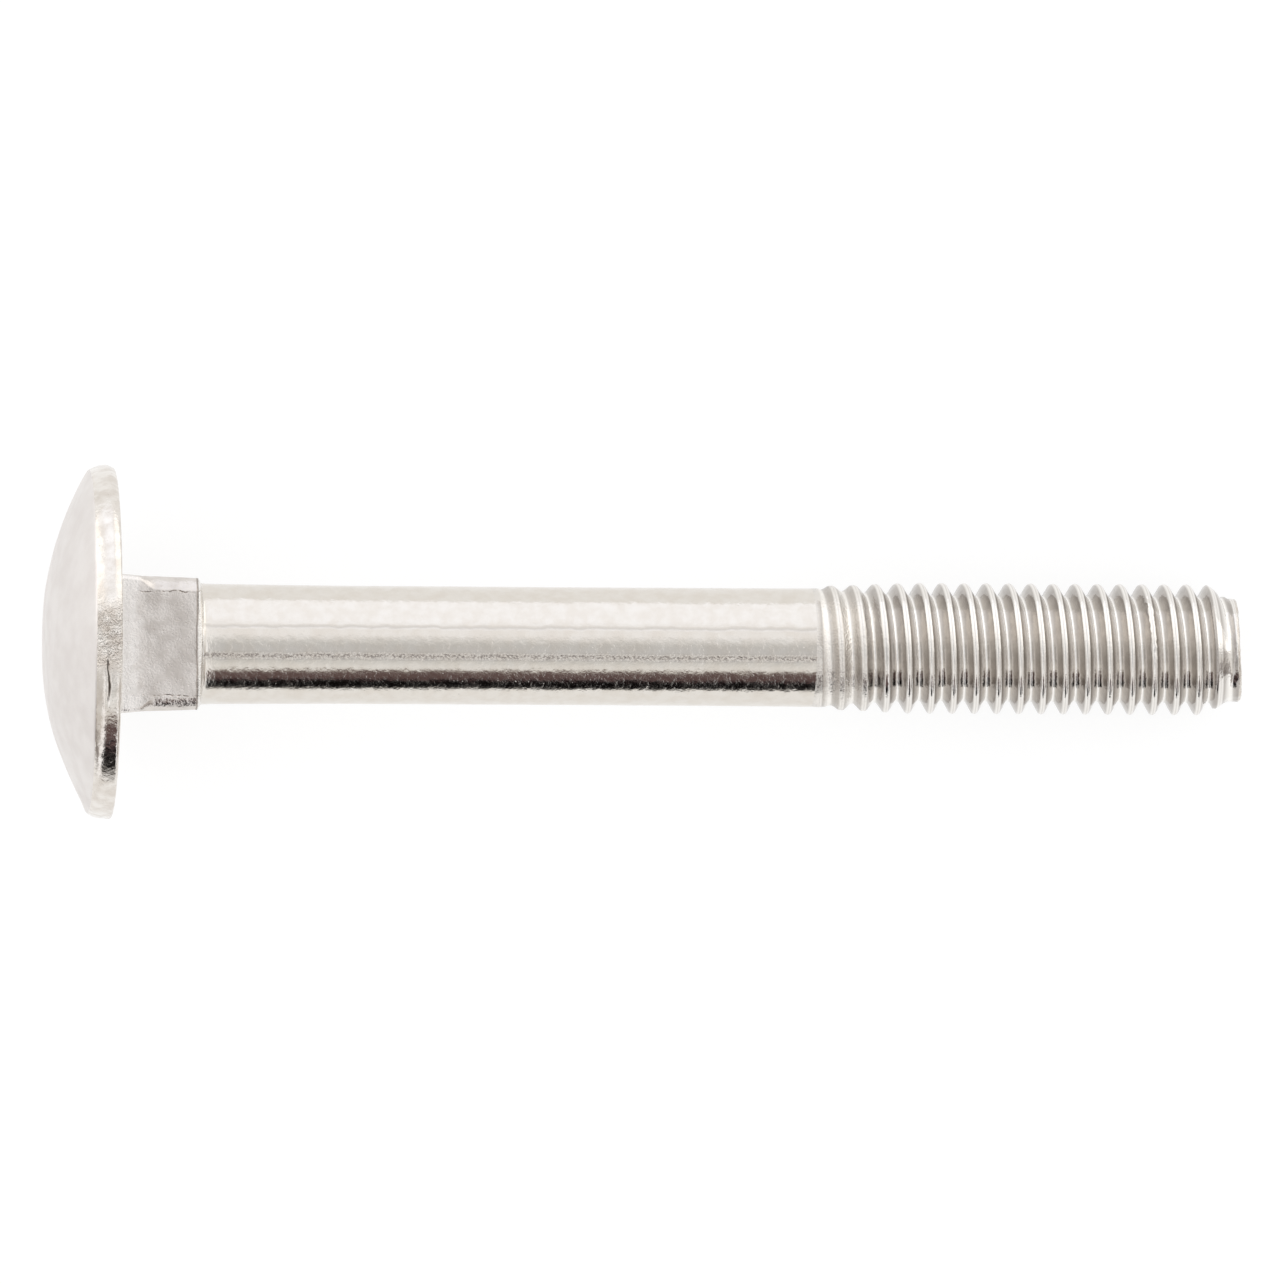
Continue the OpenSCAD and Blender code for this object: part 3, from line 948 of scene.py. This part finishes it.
# Studio round the bolt: its colour in reflections, by the angle from overhead towards -Y
studio = {
    "bands": [
        (-180, (1.0, 1.0, 1.0)), (-100, (1.15, 1.16, 1.19)), (-93, (1.28, 1.3, 1.36)),
        (-50, (1.27, 1.29, 1.35)), (-33, (1.1, 1.1, 1.12)), (-20, (1.12, 1.12, 1.14)),
        (-8, (0.84, 0.84, 0.84)), (0, (0.69, 0.69, 0.69)), (12, (0.70, 0.70, 0.71)),
        (20, (0.62, 0.61, 0.61)), (33, (0.8, 0.8, 0.79)), (44, (0.98, 0.97, 0.96)),
        (48, (0.9, 0.89, 0.87)), (52, (0.35, 0.31, 0.29)), (56, (0.145, 0.1, 0.095)),
        (68, (0.125, 0.082, 0.08)), (73, (0.04, 0.025, 0.027)), (77, (0.004, 0.003, 0.003)),
        (90, (0.004, 0.003, 0.003)), (95, (0.3, 0.29, 0.28)), (101, (0.75, 0.74, 0.73)),
        (112, (0.98, 0.97, 0.95)), (180, (1.0, 1.0, 1.0)),
    ],
    # the same towards the far ends, along the bolt
    "endBands": [
        (-180, (1.2, 1.2, 1.22)), (-110, (1.5, 1.49, 1.48)), (-85, (1.6, 1.59, 1.57)),
        (-40, (1.45, 1.43, 1.41)), (-13, (1.05, 1.04, 1.02)), (29, (0.72, 0.7, 0.68)),
        (63, (0.8, 0.77, 0.74)), (80, (0.4, 0.37, 0.35)), (95, (0.28, 0.25, 0.24)),
        (110, (1.0, 1.0, 1.0)), (180, (1.2, 1.2, 1.22)),
    ],
    "middle": -0.08,             # the bands are centred on this share of the bolt's own direction
    "beside": (0.2, 0.33),       # and give way to a bright strip beside them
    "besideColour": (1.2, 1.2, 1.22),
    "ends": (0.38, 0.52),        # which gives way to the end bands
}


def bandsAt(tree, turn, bands):
    # a colour ramp holds no more than 1, so the bands are scaled down in it and up after it
    ramp = tree.nodes.new("ShaderNodeValToRGB")
    elements = ramp.color_ramp.elements
    top = max(max(colour) for angle, colour in bands)
    for i, (angle, colour) in enumerate(bands):
        at = (angle + 180) / 360
        element = elements[i] if i < 2 else elements.new(at)
        element.position = at
        element.color = (*[part / top for part in colour], 1)
    tree.links.new(rangeOf(tree, turn, -math.pi, math.pi, kind="LINEAR"), ramp.inputs["Fac"])
    lift = tree.nodes.new("ShaderNodeVectorMath")
    lift.operation = "SCALE"
    lift.inputs["Scale"].default_value = top
    tree.links.new(ramp.outputs["Color"], lift.inputs[0])
    return lift.outputs[0]


def makeStudio():
    world = bpy.data.worlds.new("studio")
    scene.world = world
    world.use_nodes = True
    tree = world.node_tree
    tree.nodes.clear()
    direction = tree.nodes.new("ShaderNodeTexCoord")
    split = tree.nodes.new("ShaderNodeSeparateXYZ")
    tree.links.new(direction.outputs["Generated"], split.inputs[0])
    turn = math2(tree, "ARCTAN2", math2(tree, "MULTIPLY", split.outputs["Y"], -1.0), split.outputs["Z"])
    ahead = tree.nodes.new("ShaderNodeVectorMath")
    ahead.operation = "DOT_PRODUCT"
    ahead.inputs[1].default_value = alongBolt
    tree.links.new(direction.outputs["Generated"], ahead.inputs[0])
    # from the middle out: the bands, the bright strip, the end bands
    offMiddle = math2(tree, "ABSOLUTE", math2(tree, "SUBTRACT", ahead.outputs["Value"], studio["middle"]))
    beside = rangeOf(tree, offMiddle, *studio["beside"])
    around = mixColours(tree, beside, bandsAt(tree, turn, studio["bands"]), (*studio["besideColour"], 1))
    ends = rangeOf(tree, offMiddle, *studio["ends"])
    around = mixColours(tree, ends, around, bandsAt(tree, turn, studio["endBands"]))
    path = tree.nodes.new("ShaderNodeLightPath")
    back = tree.nodes.new("ShaderNodeBackground")
    tree.links.new(mixColours(tree, path.outputs["Is Glossy Ray"], (1, 1, 1, 1), around), back.inputs["Color"])
    out = tree.nodes.new("ShaderNodeOutputWorld")
    tree.links.new(back.outputs[0], out.inputs["Surface"])


makeStudio()
scene.view_settings.view_transform = "Standard"

# Camera: a long lens that looks almost straight down on the middle of the bolt
view = {
    "distance": 0.70,            # metres from the point that it looks at
    "lens": 440.1,
    "sensor": 36,
    "clipStart": 0.1,
    "aim": (23.64, 0.205),       # millimetres along the bolt and across it
    "lean": 0.6,                 # degrees off straight down, towards the tip
    "roll": 0.35,
}


def makeCamera():
    lens = bpy.data.cameras.new("photoCamera")
    lens.sensor_width = view["sensor"]
    lens.lens = view["lens"]
    lens.clip_start = view["clipStart"]
    made = bpy.data.objects.new("photoCamera", lens)
    scene.collection.objects.link(made)
    turned = Matrix.Rotation(math.radians(view["lean"]), 3, "Y") @ Matrix.Rotation(
        math.radians(view["roll"]), 3, "Z")
    along, across = view["aim"]
    aim = seatPoint + (alongBolt * along + acrossBolt * across) * mm
    made.location = aim + turned @ Vector((0, 0, view["distance"]))
    made.rotation_euler = turned.to_euler()
    scene.camera = made


makeCamera()
print("camera and studio set")
